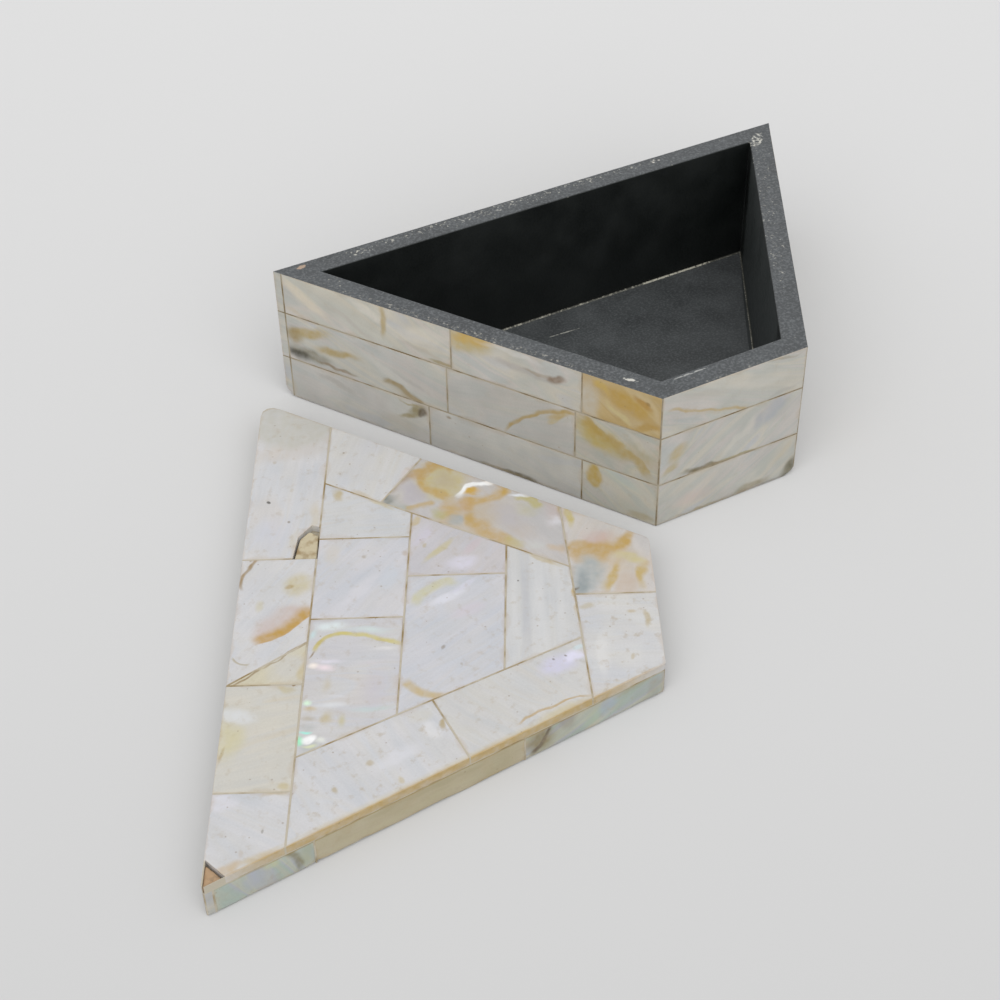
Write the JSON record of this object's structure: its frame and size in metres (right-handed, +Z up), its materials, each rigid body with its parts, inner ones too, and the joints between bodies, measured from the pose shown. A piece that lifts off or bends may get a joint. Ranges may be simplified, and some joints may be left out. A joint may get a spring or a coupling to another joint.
{
  "type": "shell box",
  "caption": "Small open box with its lift-off lid lying beside it, both trapezoids in plan, clad in shell tiles, black inside.",
  "frame": {"origin": "centre of the common footprint of box and lid, on the table", "axes": "+Z up, +X along the box's long back side with the lid on the left, +Y from the box's short front side towards its long back side"},
  "size_m": [0.2298, 0.1448, 0.038],
  "materials": {
    "black_lacquer": "black lacquered wood, satin, scuffed on the rim",
    "shell_white": "polished mother-of-pearl, milky white with pink and blue",
    "shell_grey": "polished mother-of-pearl, warm grey",
    "shell_cream": "polished mother-of-pearl, cream",
    "shell_amber": "polished mother-of-pearl mottled with amber",
    "shell_green": "polished mother-of-pearl with green and pink lustre",
    "joint_filler": "brown resin and old glue in the joints, matt"
  },
  "bodies": {
    "root": {"box_carcass": "black_lacquer", "box_left_bottom_1": "shell_grey", "box_left_bottom_2": "shell_grey", "box_left_bottom_3": "shell_amber", "box_front_bottom_1": "shell_grey", "box_right_bottom_1": "shell_grey", "box_right_bottom_2": "shell_grey", "box_right_bottom_3": "shell_grey", "box_back_bottom_1": "shell_amber", "box_back_bottom_2": "shell_grey", "box_back_bottom_3": "shell_grey", "box_left_middle_1": "shell_grey", "box_left_middle_2": "shell_grey", "box_left_middle_3": "shell_amber", "box_front_middle_1": "shell_grey", "box_right_middle_1": "shell_amber", "box_right_middle_2": "shell_grey", "box_right_middle_3": "shell_grey", "box_back_middle_1": "shell_grey", "box_back_middle_2": "shell_grey", "box_back_middle_3": "shell_grey", "box_left_top_1": "shell_grey", "box_left_top_2": "shell_grey", "box_left_top_3": "shell_amber", "box_front_top_1": "shell_grey", "box_right_top_1": "shell_grey", "box_right_top_2": "shell_grey", "box_right_top_3": "shell_grey", "box_back_top_1": "shell_grey", "box_back_top_2": "shell_cream", "box_back_top_3": "shell_grey", "lid_board": "black_lacquer", "lid_top_back_1": "shell_white", "lid_top_back_2": "shell_cream", "lid_top_back_3": "shell_cream", "lid_top_back_4": "shell_white", "lid_top_back_5": "shell_white", "lid_top_left_1": "shell_white", "lid_top_left_2": "shell_white", "lid_top_right_1": "shell_white", "lid_top_right_2": "shell_amber", "lid_top_front_1": "shell_white", "lid_top_front_2": "shell_amber", "lid_top_field_a_1": "shell_green", "lid_top_field_a_2": "shell_white", "lid_top_field_a_3": "shell_white", "lid_top_field_b_1": "shell_white", "lid_top_field_b_2": "shell_white", "lid_top_field_c_1": "shell_white", "lid_edge_left_1": "shell_green", "lid_edge_left_2": "shell_cream", "lid_edge_left_3": "shell_green", "lid_edge_front_1": "shell_grey", "lid_edge_right_1": "shell_grey", "lid_edge_right_2": "shell_grey", "lid_edge_right_3": "shell_grey", "lid_edge_back_1": "shell_grey", "lid_edge_back_2": "shell_grey", "lid_edge_back_3": "shell_grey", "lid_edge_back_4": "shell_grey"}
  },
  "joints": []
}
